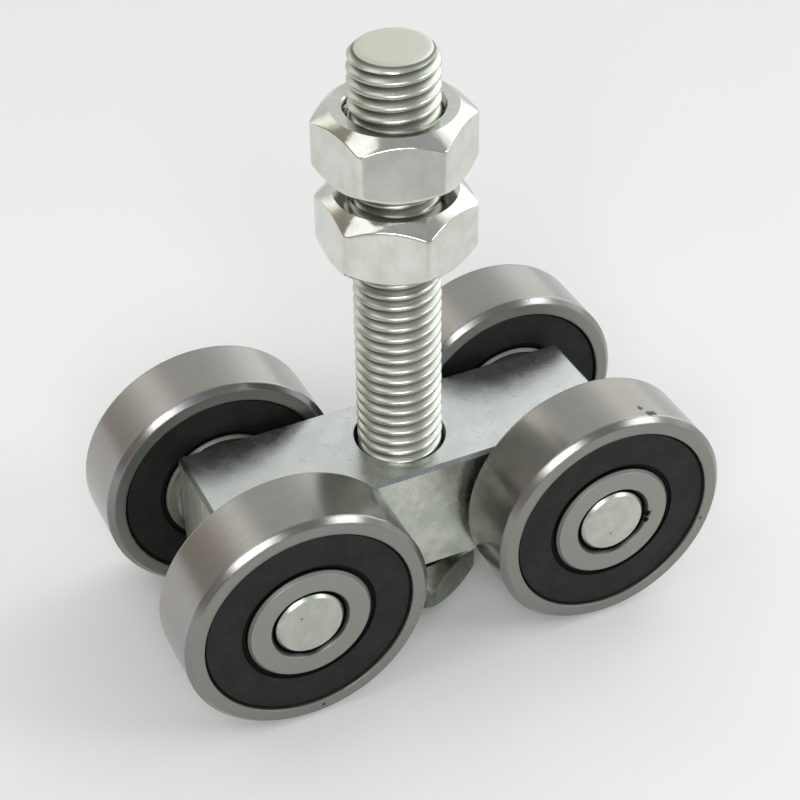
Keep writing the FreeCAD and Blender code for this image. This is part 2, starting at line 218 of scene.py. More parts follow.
def use_group(tree, group, **values):
    """Places a shared effect in a tree, with values for the inputs of the same names."""
    made = tree.nodes.new("ShaderNodeGroup")
    made.node_tree = group
    for name, value in values.items():
        fill(tree, made.inputs[name.replace("_", " ").title()], value)
    return made.outputs


# Shared effects

def make_wheel_lines():
    """Grinding lines round each wheel's axis, and the distance from that axis in millimetres."""
    group, given, result = new_group(
        "wheel_lines", {"Fineness": 6.0, "Wander": 1.0}, ("Lines", "Radius", "Patches")
    )
    place = apart(group, millimetres(group))
    across = calc(group, "SUBTRACT", calc(group, "ABSOLUTE", place["X"]), HALF_BASE)
    up = calc(group, "SUBTRACT", place["Z"], AXLE_HEIGHT)
    flat = put(group, "CombineXYZ", {"X": across, "Y": up})
    radius = put(group, "VectorMath", {0: flat.outputs[0]}, operation="LENGTH").outputs["Value"]
    # Each wheel has a number of its own that shifts the pattern, so no two wheels are alike
    far_side = calc(group, "MULTIPLY", calc(group, "SIGN", place["Y"]), 2.0)
    wheel = calc(group, "ADD", calc(group, "SIGN", place["X"]), far_side)
    drift = calc(group, "MULTIPLY", given["Wander"], 0.05)
    outward = calc(group, "MULTIPLY", radius, given["Fineness"])
    along = calc(group, "MULTIPLY", place["Y"], given["Fineness"])
    turned = put(
        group,
        "CombineXYZ",
        {
            "X": calc(group, "ADD", outward, calc(group, "MULTIPLY", wheel, 9.3)),
            "Y": calc(group, "ADD", along, calc(group, "MULTIPLY", across, drift)),
            "Z": calc(group, "MULTIPLY", up, drift),
        },
    )
    shifted_y = calc(group, "ADD", place["Y"], calc(group, "MULTIPLY", wheel, 31.0))
    shifted = put(group, "CombineXYZ", {"X": place["X"], "Y": shifted_y, "Z": place["Z"]})
    group.links.new(noise(group, turned.outputs[0], 1.0, 4.0, 0.6), result["Lines"])
    group.links.new(radius, result["Radius"])
    group.links.new(noise(group, shifted.outputs[0], 0.16, 3.0, 0.6), result["Patches"])
    return group


def make_zinc_bloom():
    """Cloudy patches and fine grain of zinc plating."""
    group, given, result = new_group(
        "zinc_bloom", {"Patch Size": 5.0, "Grain Size": 0.35}, ("Bloom", "Grain")
    )
    place = millimetres(group)
    patch = noise(group, place, calc(group, "DIVIDE", 1.0, given["Patch Size"]), 5.0, 0.62)
    grain = noise(group, place, calc(group, "DIVIDE", 1.0, given["Grain Size"]), 2.0, 0.5)
    group.links.new(between(group, patch, 0.36, 0.66, smooth=True), result["Bloom"])
    group.links.new(grain, result["Grain"])
    return group


def make_specks():
    """Scattered small specks of dirt, rust or pitting, with uneven outlines."""
    group, given, result = new_group(
        "specks", {"Spacing": 3.0, "Speck Size": 0.12, "Share": 0.3}, ("Specks",)
    )
    place = millimetres(group)
    ragged = calc(group, "SUBTRACT", noise(group, place, 3.0, 2.0), 0.5)
    density = calc(group, "DIVIDE", 1.0, given["Spacing"])
    cells = put(group, "TexVoronoi", {"Vector": place, "Scale": density})
    away = calc(group, "MULTIPLY", cells.outputs["Distance"], given["Spacing"])
    away = calc(group, "ADD", away, calc(group, "MULTIPLY", ragged, given["Speck Size"]))
    pick = put(group, "SeparateColor", {"Color": cells.outputs["Color"]}).outputs
    size = calc(group, "MULTIPLY", given["Speck Size"], calc(group, "ADD", pick["Red"], 0.4))
    dot = between(group, calc(group, "DIVIDE", away, size), 1.0, 0.6)
    chosen = calc(group, "LESS_THAN", pick["Green"], given["Share"])
    group.links.new(calc(group, "MULTIPLY", dot, chosen), result["Specks"])
    return group


def make_scratches():
    """Short fine scratches in all directions on level faces."""
    group, given, result = new_group(
        "scratches",
        {"Spacing": 2.0, "Scratch Length": 0.7, "Scratch Width": 0.06, "Share": 0.4},
        ("Scratches",),
    )
    place = apart(group, millimetres(group))
    level = put(group, "CombineXYZ", {"X": place["X"], "Y": place["Y"]}).outputs[0]
    density = calc(group, "DIVIDE", 1.0, given["Spacing"])
    cells = put(group, "TexVoronoi", {"Vector": level, "Scale": density}, voronoi_dimensions="2D")
    pick = put(group, "SeparateColor", {"Color": cells.outputs["Color"]}).outputs
    middle = cells.outputs["Position"]
    offset = put(group, "VectorMath", {0: level, 1: middle}, operation="SUBTRACT").outputs[0]
    angle = calc(group, "MULTIPLY", pick["Red"], math.pi)
    rotation = {"Vector": offset, "Angle": angle}
    turned = put(group, "VectorRotate", rotation, rotation_type="Z_AXIS").outputs[0]
    parts = apart(group, turned)
    bend = calc(group, "MULTIPLY", calc(group, "SUBTRACT", pick["Blue"], 0.5), 0.25)
    bow = calc(group, "MULTIPLY", calc(group, "MULTIPLY", parts["X"], parts["X"]), bend)
    side = calc(group, "ABSOLUTE", calc(group, "ADD", parts["Y"], bow))
    thin = between(group, calc(group, "DIVIDE", side, given["Scratch Width"]), 1.0, 0.4)
    reach = calc(group, "DIVIDE", calc(group, "ABSOLUTE", parts["X"]), given["Scratch Length"])
    line = calc(group, "MULTIPLY", thin, between(group, reach, 1.0, 0.7))
    chosen = calc(group, "LESS_THAN", pick["Green"], given["Share"])
    group.links.new(calc(group, "MULTIPLY", line, chosen), result["Scratches"])
    return group


WHEEL_LINES = make_wheel_lines()
ZINC_BLOOM = make_zinc_bloom()
SPECKS = make_specks()
SCRATCHES = make_scratches()


# Materials

def new_material(name):
    """A material with its node tree and shader."""
    material = bpy.data.materials.new(name)
    material.use_nodes = True
    tree = material.node_tree
    return material, tree, tree.nodes["Principled BSDF"]


def new_metal(name):
    """The same for bare or plated metal."""
    material, tree, shader = new_material(name)
    shader.inputs["Metallic"].default_value = 1.0
    return material, tree, shader


def dress(tree, shader, colour, roughness, height=None, bump=0.0, depth=0.1, soft_edge=0.0):
    """Links colour and roughness, and a bump of some millimetres' depth, to the shader. Soft_edge
    is the radius, in millimetres, to which the light sees edges rounded."""
    fill(tree, shader.inputs["Base Color"], colour)
    fill(tree, shader.inputs["Roughness"], roughness)
    if height is not None:
        made = put(tree, "Bump", {"Strength": bump, "Distance": depth * MM, "Height": height})
        if soft_edge:
            rounded = put(tree, "Bevel", {"Radius": soft_edge * MM}, samples=SOFT_EDGE_SAMPLES)
            tree.links.new(rounded.outputs["Normal"], made.inputs["Normal"])
        tree.links.new(made.outputs["Normal"], shader.inputs["Normal"])


def spots_mask(tree, spots):
    """Mask of single ragged spots, each at its own place and size."""
    place = millimetres(tree)
    uneven = calc(tree, "SUBTRACT", noise(tree, place, 2.6, 3.0, 0.7), 0.5)
    ragged = calc(tree, "MULTIPLY", uneven, 0.6)
    mask = None
    for *centre, size in spots:
        away = put(tree, "VectorMath", {0: place, 1: centre}, operation="DISTANCE").outputs["Value"]
        spot = between(tree, calc(tree, "ADD", away, ragged), size, size * 0.4, smooth=True)
        mask = spot if mask is None else calc(tree, "MAXIMUM", mask, spot)
    return mask


def ring_steel():
    """Outer rings: satin tread, bright turned bevel, duller ground faces and a thin dull film."""
    material, tree, shader = new_metal("ring_steel")
    shader.inputs["Metallic"].default_value = 0.92
    lines = use_group(tree, WHEEL_LINES, fineness=7.0, wander=1.0)
    coarse = use_group(tree, WHEEL_LINES, fineness=1.3, wander=3.0)
    tread = between(tree, lines["Radius"], RING_RADIUS - 0.05, RING_RADIUS - 0.02)
    face_end = RING_RADIUS - RING_BEVEL
    beyond_face = between(tree, lines["Radius"], face_end, face_end + 0.06)
    bevel = calc(tree, "SUBTRACT", beyond_face, tread)
    face = tint(tree, lines["Lines"], (0.22, 0.228, 0.205, 1), (0.298, 0.31, 0.28, 1))
    bright = tint(tree, coarse["Lines"], (0.325, 0.325, 0.31, 1), (0.375, 0.37, 0.355, 1))
    # Warm stains in patches on the tread.
    toned = between(tree, coarse["Patches"], 0.45, 0.7, 0.0, 0.6)
    warm = tint(tree, toned, bright, (0.35, 0.32, 0.28, 1))
    colour = tint(tree, beyond_face, face, warm)
    colour = tint(tree, bevel, colour, (0.245, 0.245, 0.24, 1))
    specks = use_group(tree, SPECKS, spacing=7.0, speck_size=0.14, share=0.2)["Specks"]
    colour = tint(tree, calc(tree, "MULTIPLY", specks, 0.7), colour, (0.06, 0.045, 0.03, 1))
    colour = tint(tree, spots_mask(tree, RING_SPOTS), colour, (0.06, 0.05, 0.035, 1))
    rough = between(tree, lines["Lines"], 0.3, 0.7, 0.36, 0.46)
    rough = tint(tree, beyond_face, rough, between(tree, lines["Lines"], 0.3, 0.7, 0.19, 0.26))
    rough = tint(tree, bevel, rough, between(tree, coarse["Lines"], 0.3, 0.7, 0.18, 0.26))
    level = calc(tree, "MULTIPLY", lines["Lines"], between(tree, beyond_face, 0.0, 1.0, 1.0, 0.3))
    level = calc(tree, "MULTIPLY", level, calc(tree, "SUBTRACT", 1.0, bevel))
    dress(tree, shader, colour, rough, level, 0.05, 0.03, soft_edge=0.45)
    return material


def inner_ring_steel():
    """Inner rings: ground faces, dirt and painted shade in the bevel round the axle, and painted
    shade on the wall beside the seal.
    """
    material, tree, shader = new_metal("inner_ring_steel")
    lines = use_group(tree, WHEEL_LINES, fineness=9.0, wander=1.0)
    colour = tint(tree, lines["Lines"], (0.265, 0.277, 0.246, 1), (0.338, 0.354, 0.316, 1))
    specks = use_group(tree, SPECKS, spacing=3.5, speck_size=0.09, share=0.25)["Specks"]
    colour = tint(tree, specks, colour, (0.06, 0.045, 0.035, 1))
    edge_start = INNER_FACE_RADIUS - INNER_FACE_BEVEL
    edge = between(tree, lines["Radius"], edge_start, edge_start + 0.05)
    colour = tint(tree, edge, colour, (0.21, 0.22, 0.20, 1))
    aside = calc(tree, "ABSOLUTE", apart(tree, millimetres(tree))["Y"])
    from_outside = calc(tree, "SUBTRACT", -RING_LOW.y, aside)
    from_inside = calc(tree, "ADD", aside, RING_HIGH.y)
    below = calc(tree, "MINIMUM", from_outside, from_inside)
    # Painted shade: the ring's wall deep in the recess beside the seal is painted black.
    wall = between(tree, lines["Radius"], INNER_FACE_RADIUS - 0.06, INNER_FACE_RADIUS - 0.02)
    wall = calc(tree, "MULTIPLY", wall, between(tree, below, 0.4, 0.7))
    # Dirt and painted shade in the groove round the axle: dark grey across the bore's bevel, black
    # towards the axle, with the dirt spots in it.
    uneven = calc(tree, "MULTIPLY", calc(tree, "SUBTRACT", lines["Patches"], 0.5), 0.4)
    depth = calc(tree, "ADD", lines["Radius"], uneven)
    bevel_end = BORE_RADIUS + BORE_BEVEL
    toned = between(tree, depth, bevel_end + 0.03, bevel_end - 0.1)
    colour = tint(tree, toned, colour, (0.075, 0.075, 0.068, 1))
    grime_and_groove_shade = between(tree, depth, bevel_end - 0.1, BORE_RADIUS + 0.25, smooth=True)
    grime_and_groove_shade = calc(tree, "MAXIMUM", grime_and_groove_shade, spots_mask(tree, INNER_RING_SPOTS))
    colour = tint(tree, calc(tree, "MAXIMUM", wall, grime_and_groove_shade), colour, (0.004, 0.004, 0.004, 1))
    rough = between(tree, lines["Lines"], 0.3, 0.7, 0.36, 0.46)
    rough = calc(tree, "ADD", rough, calc(tree, "MULTIPLY", edge, 0.2))
    dress(tree, shader, colour, rough, lines["Lines"], 0.05, 0.03)
    return material


def seal_rubber():
    """Black moulded rubber with a faint bloom; its lip and its edge are painted black as shade."""
    material, tree, shader = new_material("seal_rubber")
    radius = use_group(tree, WHEEL_LINES, fineness=2.0, wander=2.0)["Radius"]
    bloom = use_group(tree, ZINC_BLOOM, patch_size=4.0, grain_size=0.25)
    colour = tint(tree, bloom["Bloom"], (0.0055, 0.0055, 0.0055, 1), (0.0115, 0.0113, 0.0104, 1))
    # Painted shade: the recessed lip band and the edge beside the outer ring are coloured black and
    # made rough.
    edge = between(tree, radius, SEAL_EDGE_RADIUS - 0.12, SEAL_EDGE_RADIUS - 0.02)
    lip = between(tree, radius, LIP_BAND_RADIUS + 0.12, LIP_BAND_RADIUS + 0.02)
    shade = calc(tree, "MAXIMUM", edge, lip)
    colour = tint(tree, shade, colour, (0.001, 0.001, 0.001, 1))
    rough = between(tree, bloom["Grain"], 0.3, 0.7, 0.5, 0.68)
    rough = tint(tree, shade, rough, (0.95, 0.95, 0.95, 1))
    shader.inputs["Specular IOR Level"].default_value = 0.3
    dress(tree, shader, colour, rough, bloom["Grain"], 0.12, 0.05)
    return material


def block_zinc():
    """Zinc plated bar: pale scratched top, mottled greenish sides with pits, slate edges."""
    material, tree, shader = new_metal("block_zinc")
    bloom = use_group(tree, ZINC_BLOOM, patch_size=3.4, grain_size=0.3)
    place = millimetres(tree)
    height = apart(tree, place)["Z"]
    normal = put(tree, "TexCoord").outputs["Normal"]
    upward = between(tree, apart(tree, normal)["Z"], 0.8, 0.95)
    facing = apart(tree, put(tree, "VectorMath", {0: normal}, operation="ABSOLUTE").outputs[0])
    endward = between(tree, facing["X"], 0.8, 0.95)
    squarely = calc(tree, "MAXIMUM", facing["X"], calc(tree, "MAXIMUM", facing["Y"], facing["Z"]))
    edge = between(tree, squarely, 0.9, 0.8)
    streaks = noise(tree, stretched(tree, place, (1.6, 1.6, 0.12)), 0.9, 4.0, 0.6)
    brushed = noise(tree, stretched(tree, place, (0.25, 3.0, 3.0)), 1.0, 3.0, 0.6)
    top = tint(tree, bloom["Bloom"], (0.67, 0.705, 0.68, 1), (0.76, 0.79, 0.765, 1))
    side = tint(tree, bloom["Bloom"], (0.49, 0.54, 0.455, 1), (0.69, 0.705, 0.62, 1))
    streaked = between(tree, streaks, 0.35, 0.65)
    end = tint(tree, streaked, (0.50, 0.545, 0.47, 1), (0.67, 0.705, 0.62, 1))
    colour = tint(tree, upward, tint(tree, endward, side, end), top)
    slate = tint(tree, brushed, (0.235, 0.275, 0.292, 1), (0.41, 0.45, 0.46, 1))
    colour = tint(tree, edge, colour, slate)
    scratches = use_group(
        tree, SCRATCHES, spacing=2.2, scratch_length=0.8, scratch_width=0.06, share=0.4
    )
    scored = calc(tree, "MULTIPLY", scratches["Scratches"], calc(tree, "MULTIPLY", upward, 0.45))
    colour = tint(tree, scored, colour, (0.26, 0.28, 0.28, 1))
    flecks = use_group(tree, SPECKS, spacing=1.0, speck_size=0.15, share=0.45)["Specks"]
    flecks = calc(tree, "MULTIPLY", flecks, between(tree, upward, 0.0, 1.0, 0.55, 0.35))
    colour = tint(tree, flecks, colour, (0.22, 0.235, 0.23, 1))
    pits = use_group(tree, SPECKS, spacing=2.6, speck_size=0.36, share=0.4)["Specks"]
    pitted = between(tree, height, BLOCK_TOP - 0.6, BLOCK_TOP - 1.0, 0.15, 0.75)
    pits = calc(tree, "MULTIPLY", pits, pitted)
    colour = tint(tree, pits, colour, (0.15, 0.155, 0.14, 1))
    rough = between(tree, bloom["Bloom"], 0.0, 1.0, 0.25, 0.30)
    rough = calc(tree, "ADD", rough, calc(tree, "MULTIPLY", endward, 0.2))
    raised = calc(tree, "ADD", bloom["Grain"], streaks)
    relief = calc(tree, "SUBTRACT", raised, calc(tree, "ADD", pits, scored))
    dress(tree, shader, colour, rough, relief, 0.05, 0.06)
    return material


def axle_zinc():
    """Plated axles: pale end discs with faint cloud and small dark pits, and dirt and painted shade
    at their rims.
    """
    material, tree, shader = new_metal("axle_zinc")
    lines = use_group(tree, WHEEL_LINES, fineness=3.0, wander=4.0)
    bloom = use_group(tree, ZINC_BLOOM, patch_size=2.2, grain_size=0.3)
    colour = tint(tree, bloom["Bloom"], (0.47, 0.50, 0.44, 1), (0.555, 0.58, 0.51, 1))
    turned = between(tree, lines["Lines"], 0.5, 0.8, 0.0, 0.3)
    colour = tint(tree, turned, colour, (0.44, 0.47, 0.41, 1))
    specks = use_group(tree, SPECKS, spacing=1.8, speck_size=0.12, share=0.25)["Specks"]
    specks = calc(tree, "MULTIPLY", specks, 0.6)
    specks = calc(tree, "MAXIMUM", specks, spots_mask(tree, AXLE_SPOTS))
    colour = tint(tree, specks, colour, (0.10, 0.10, 0.085, 1))
    # Dirt and painted shade: a black line on the outer edge of the axle's chamfer, where it meets
    # the bore; not on the spacers.
    rim = between(tree, lines["Radius"], BORE_RADIUS - 0.18, BORE_RADIUS - 0.08)
    on_axle = between(tree, lines["Radius"], BORE_RADIUS + 0.1, BORE_RADIUS + 0.05)
    rim = calc(tree, "MULTIPLY", rim, on_axle)
    colour = tint(tree, rim, colour, (0.006, 0.006, 0.006, 1))
    rough = between(tree, bloom["Grain"], 0.3, 0.7, 0.32, 0.4)
    dress(tree, shader, colour, rough, bloom["Bloom"], 0.06, 0.04)
    return material


def thread_zinc():
    """The bolt's plating: bright thread with painted shade in its roots, pale end, and a dull
    greenish head darkened as painted shade.
    """
    material, tree, shader = new_metal("thread_zinc")
    parts = apart(tree, millimetres(tree))
    flat = put(tree, "CombineXYZ", {"X": parts["X"], "Y": parts["Y"]}).outputs[0]
    radius = put(tree, "VectorMath", {0: flat}, operation="LENGTH").outputs["Value"]
    bloom = use_group(tree, ZINC_BLOOM, patch_size=3.0, grain_size=0.3)
    bright = tint(tree, bloom["Bloom"], (0.52, 0.55, 0.49, 1), (0.61, 0.635, 0.575, 1))
    # Painted shade: the thread's roots are coloured dark, turning to bright plating up the flanks.
    flank = between(tree, radius, THREAD_ROOT + 0.05, THREAD_ROOT + 0.55, smooth=True)
    colour = tint(tree, flank, (0.17, 0.19, 0.155, 1), bright)
    on_head = between(tree, parts["Z"], HEAD_HEIGHT + 0.1, HEAD_HEIGHT + 0.05)
    on_end = between(tree, parts["Z"], BOLT_END - 0.25, BOLT_END - 0.15)
    colour = tint(tree, on_end, colour, (0.70, 0.71, 0.635, 1))
    # Painted shade: the head, under the block, is given a dark greenish colour.
    head = tint(tree, bloom["Bloom"], (0.155, 0.18, 0.14, 1), (0.27, 0.30, 0.24, 1))
    colour = tint(tree, on_head, colour, head)
    specks = use_group(tree, SPECKS, spacing=2.4, speck_size=0.12, share=0.25)["Specks"]
    colour = tint(tree, calc(tree, "MULTIPLY", specks, 0.7), colour, (0.14, 0.14, 0.11, 1))
    rough = between(tree, bloom["Grain"], 0.3, 0.7, 0.30, 0.36)
    in_root = calc(tree, "SUBTRACT", 1.0, calc(tree, "MAXIMUM", flank, on_head))
    rough = calc(tree, "ADD", rough, calc(tree, "MULTIPLY", in_root, 0.27))
    dress(tree, shader, colour, rough, bloom["Bloom"], 0.05, 0.05)
    return material


def nut_zinc():
    """Bright plated nuts with soft forging marks on their flats, and undersides darkened as painted
    shade.
    """
    material, tree, shader = new_metal("nut_zinc")
    bloom = use_group(tree, ZINC_BLOOM, patch_size=3.5, grain_size=0.3)
    marks = noise(tree, stretched(tree, millimetres(tree), (1.0, 1.0, 0.25)), 0.7, 4.0, 0.6)
    colour = tint(tree, bloom["Bloom"], (0.62, 0.635, 0.58, 1), (0.71, 0.72, 0.67, 1))
    marked = between(tree, marks, 0.5, 0.8, 0.0, 0.5)
    colour = tint(tree, marked, colour, (0.52, 0.53, 0.45, 1))
    specks = use_group(tree, SPECKS, spacing=2.2, speck_size=0.12, share=0.25)["Specks"]
    colour = tint(tree, calc(tree, "MULTIPLY", specks, 0.6), colour, (0.24, 0.24, 0.2, 1))
    # Painted shade: faces turned downwards are coloured dark.
    turn = apart(tree, put(tree, "TexCoord").outputs["Normal"])
    underside_shade = between(tree, turn["Z"], -0.8, -0.95)
    colour = tint(tree, underside_shade, colour, (0.15, 0.155, 0.14, 1))
    rough = between(tree, marks, 0.3, 0.7, 0.1, 0.17)
    rough = calc(tree, "ADD", rough, calc(tree, "MULTIPLY", underside_shade, 0.25))
    dress(tree, shader, colour, rough, marks, 0.2, 0.1)
    return material


def ball_steel():
    """Polished balls, with a thin film of grease."""
    material, tree, shader = new_metal("ball_steel")
    bloom = use_group(tree, ZINC_BLOOM, patch_size=2.0, grain_size=0.2)
    colour = tint(tree, bloom["Bloom"], (0.62, 0.62, 0.60, 1), (0.72, 0.72, 0.70, 1))
    rough = between(tree, bloom["Grain"], 0.3, 0.7, 0.06, 0.14)
    dress(tree, shader, colour, rough)
    return material


def cage_sheet():
    """Pressed steel sheet of the ball cages."""
    material, tree, shader = new_metal("cage_sheet")
    bloom = use_group(tree, ZINC_BLOOM, patch_size=2.5, grain_size=0.2)
    colour = tint(tree, bloom["Bloom"], (0.42, 0.41, 0.38, 1), (0.54, 0.53, 0.50, 1))
    rough = between(tree, bloom["Grain"], 0.3, 0.7, 0.32, 0.48)
    dress(tree, shader, colour, rough, bloom["Grain"], 0.2, 0.03)
    return material


# Threaded pieces

def ring_point(made, radius, angle, height):
    """A new point at a radius, angle and height about Z, given in millimetres."""
    place = Vector((radius * math.cos(angle), radius * math.sin(angle), height))
    return made.verts.new(place * MM)


def wind_thread(made, profile, low, high, trim, outside=True):
    """Winds a thread about Z from low to high. Profile is (rise in pitches, radius) over one
    pitch, and trim(radius, height) gives each point's final radius. An outside thread faces
    away from the axis."""
    columns = len(profile)
    rows = int(((high - low) / THREAD_PITCH + 2) * THREAD_STEPS)
    points = []
    for row in range(rows):
        angle = 2 * math.pi * row / THREAD_STEPS
        lift = low - THREAD_PITCH + THREAD_PITCH * row / THREAD_STEPS
        for rise, radius in profile:
            height = min(max(lift + rise * THREAD_PITCH, low), high)
            points.append(ring_point(made, trim(radius, height), angle, height))
    for row in range(rows - 1):
        for column in range(columns):
            here = row * columns + column
            above = here + 1 if column + 1 < columns else (row + THREAD_STEPS) * columns
            if above + columns >= len(points):
                continue
            corners = [points[here], points[here + columns], points[above + columns], points[above]]
            made.faces.new(corners if outside else corners[::-1])
    bmesh.ops.remove_doubles(made, verts=made.verts, dist=WELD_DISTANCE)
    bmesh.ops.dissolve_degenerate(made, edges=made.edges, dist=WELD_DISTANCE)


def hexagon_outline():
    """Points of the hexagon with rounded corners, two of its corners on the Y axis."""
    corner = ACROSS_FLATS / 2 / math.cos(math.radians(30))
    centre_reach = corner - CORNER_ROUND / math.cos(math.radians(30))
    arcs = []
    for side in range(6):
        middle = math.radians(90 + 60 * side)
        centre = centre_reach * Vector((math.cos(middle), math.sin(middle)))
        turns = [middle + math.radians(degrees) for degrees in CORNER_TURNS]
        outward = [Vector((math.cos(turn), math.sin(turn))) for turn in turns]
        arcs.append([centre + CORNER_ROUND * aim for aim in outward])
    outline = []
    for arc, following in zip(arcs, arcs[1:] + arcs[:1]):
        outline += arc
        outline += [arc[-1].lerp(following[0], step / FLAT_STEPS) for step in range(1, FLAT_STEPS)]
    return outline


def loft_hexagon(made, height, slopes, inner_radii):
    """A hexagon from z = 0 up with bevelled corners; slopes and inner_radii are (bottom, top)."""
    rings = []
    for spot in hexagon_outline():
        reach, angle = spot.length, math.atan2(spot.y, spot.x)
        beyond = max(reach - FACE_RADIUS, 0.0)
        low, high = beyond * slopes[0], height - beyond * slopes[1]
        soft = min(EDGE_ROUND, beyond * EDGE_SHARE)
        start = BEVEL_START * beyond
        profile = [
            (inner_radii[0], 0.0),
            (FACE_RADIUS - FACE_MARGIN, 0.0),
            (FACE_RADIUS, 0.0),
            (FACE_RADIUS + start, start * slopes[0]),
            (reach - soft, low - soft * slopes[0]),
            (reach - EDGE_INWARD * soft, low + EDGE_ALONG * soft),
            (reach, low + soft),
            (reach, low + soft + FLAT_MARGIN),
            (reach, high - soft - FLAT_MARGIN),
            (reach, high - soft),
            (reach - EDGE_INWARD * soft, high - EDGE_ALONG * soft),
            (reach - soft, high + soft * slopes[1]),
            (FACE_RADIUS + start, height - start * slopes[1]),
            (FACE_RADIUS, height),
            (FACE_RADIUS - FACE_MARGIN, height),
            (inner_radii[1], height),
        ]
        rings.append([ring_point(made, radius, angle, level) for radius, level in profile])
    for ring, following in zip(rings, rings[1:] + rings[:1]):
        for index in range(len(ring) - 1):
            above = index + 1
            made.faces.new((ring[index], following[index], following[above], ring[above]))
    return rings


def finish_piece(name, made, material, body, node, crisp):
    """Makes an object of the mesh and puts it in its node's place. Edges that turn by more than
    crisp degrees stay crisp."""
    mesh = bpy.data.meshes.new(name)
    made.to_mesh(mesh)
    made.free()
    mesh.shade_smooth()
    mesh.set_sharp_from_angle(angle=math.radians(crisp))
    mesh.materials.append(material)
    piece = bpy.data.objects.new(name, mesh)
    bpy.context.collection.objects.link(piece)
    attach(piece, body)
    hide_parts(node)


def outside_thread():
    """Thread profile of the bolt: full crests, rounded by rolling and plating, narrow roots."""
    depth = THREAD_CREST - THREAD_ROOT
    profile = []
    for step in range(THREAD_POINTS):
        rise = step / THREAD_POINTS
        wave = 0.5 + 0.5 * math.cos(2 * math.pi * rise)
        profile.append((rise, THREAD_ROOT + depth * wave**CREST_FULLNESS))
    return profile


def inside_thread():
    """Shallow thread lines in a nut's bore, clear of the bolt."""
    return [(0.0, NUT_BORE), (0.12, NUT_BORE), (0.45, NUT_GROOVE), (0.6, NUT_GROOVE)]


def bolt_end_radius(radius, height):
    """Cuts the thread back to the bolt's chamfered end, whose rim is rounded."""
    depth = BOLT_END - height
    turn = math.radians(45)
    start = BOLT_END_FLAT - BOLT_END_ROUND * math.tan(turn / 2)
    if depth < BOLT_END_ROUND * (1 - math.cos(turn)):
        return min(radius, start + math.sqrt(BOLT_END_ROUND**2 - (BOLT_END_ROUND - depth) ** 2))
    return min(radius, BOLT_END_FLAT + depth)


def make_bolt(material):
    """The bolt with its thread, rounded end and hexagon head."""
    made = bmesh.new()
    wind_thread(made, outside_thread(), HEAD_HEIGHT - THREAD_SINK, BOLT_END, bolt_end_radius)
    rim = [v for v in made.verts if v.co.z > (BOLT_END - RIM_TOLERANCE) * MM]
    rim.sort(key=lambda v: math.atan2(v.co.y, v.co.x))
    inset = (BOLT_END_FLAT - BOLT_END_ROUND - BOLT_END_INSET) / BOLT_END_FLAT
    inner = [made.verts.new((v.co.x * inset, v.co.y * inset, v.co.z)) for v in rim]
    for index in range(len(rim)):
        made.faces.new((rim[index - 1], rim[index], inner[index], inner[index - 1]))
    made.faces.new(inner)
    inner_radii = (HEAD_CENTRE_RADIUS, THREAD_ROOT)
    rings = loft_hexagon(made, HEAD_HEIGHT, (HEX_SLOPE, HEAD_SEAT_SLOPE), inner_radii)
    made.faces.new([ring[0] for ring in reversed(rings)])
    finish_piece(
        "bolt_with_thread", made, material, "hanger", "hanger_bolt", CRISP_BOLT
    )


def make_nut(name, material):
    """A nut with rounded corners and a countersunk, threaded bore."""
    made = bmesh.new()

    def mouth(radius, height):
        """Widens both ends of the bore."""
        return max(radius, NUT_MOUTH - min(height, NUT_HEIGHT - height))

    wind_thread(made, inside_thread(), 0.0, NUT_HEIGHT, mouth, outside=False)
    loft_hexagon(made, NUT_HEIGHT, (HEX_SLOPE, HEX_SLOPE), (NUT_MOUTH, NUT_MOUTH))
    turn = Matrix.Rotation(math.radians(NUT_TURNS[name]), 3, "Z")
    bmesh.ops.rotate(made, verts=made.verts, cent=(0, 0, 0), matrix=turn)
    bmesh.ops.translate(made, verts=made.verts, vec=(0, 0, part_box(name)[0].z))
    finish_piece(f"{name}_with_thread", made, material, name, name, CRISP_NUT)


# Stage

FLOOR_HALF = 1.5
# Colours of the room's walls by azimuth in degrees: 0 is behind the part, 90 to its right
WALLS = (
    (-180, (0.36, 0.36, 0.37, 1)),
    (-128, (0.42, 0.35, 0.34, 1)),
    (-60, (0.30, 0.28, 0.25, 1)),
    (-43, (0.36, 0.33, 0.285, 1)),
    (-38, (0.56, 0.52, 0.46, 1)),
    (-32, (1.06, 1.01, 0.92, 1)),
    (-26, (1.36, 1.33, 1.24, 1)),
    (-19, (1.10, 1.09, 1.04, 1)),
    (-12, (0.70, 0.70, 0.68, 1)),
    (16, (0.70, 0.71, 0.70, 1)),
    (28, (0.80, 0.81, 0.80, 1)),
    (35, (1.00, 1.01, 1.00, 1)),
    (41, (1.45, 1.46, 1.43, 1)),
    (49, (1.12, 1.13, 1.11, 1)),
    (64, (2.30, 2.31, 2.32, 1)),
    (100, (1.55, 1.56, 1.57, 1)),
    (116, (0.42, 0.42, 0.43, 1)),
    (180, (0.36, 0.36, 0.37, 1)),
)
CEILING = (0.44, 0.44, 0.445, 1)
# Elevations in degrees between which the walls pass into the ceiling
WALL_END = 46
CEILING_START = 66
# Windows: azimuth and elevation of the middle, width and height in metres, and power
WINDOW_DISTANCE = 1.2
WINDOW_AIM = (0, 0, 0.02)
WINDOWS = {
    "left_window": (-155, 36, (0.70, 0.36), 5.6),
    "right_window": (127, 31, (0.42, 0.34), 2.6),
    "high_window": (-85, 56, (0.66, 0.66), 1.5),
}
# Camera at the photograph's viewing angle: degrees, then millimetres, then clipping in metres
CAMERA_AZIMUTH = -24.75
CAMERA_ELEVATION = 38.44
CAMERA_ROLL = -0.92
CAMERA_LENS = 88.97
CAMERA_AIM = (1.82, 3.67, 29.167)
CAMERA_DISTANCE = 279.94
CAMERA_NEAR = 0.01
CAMERA_FAR = 20


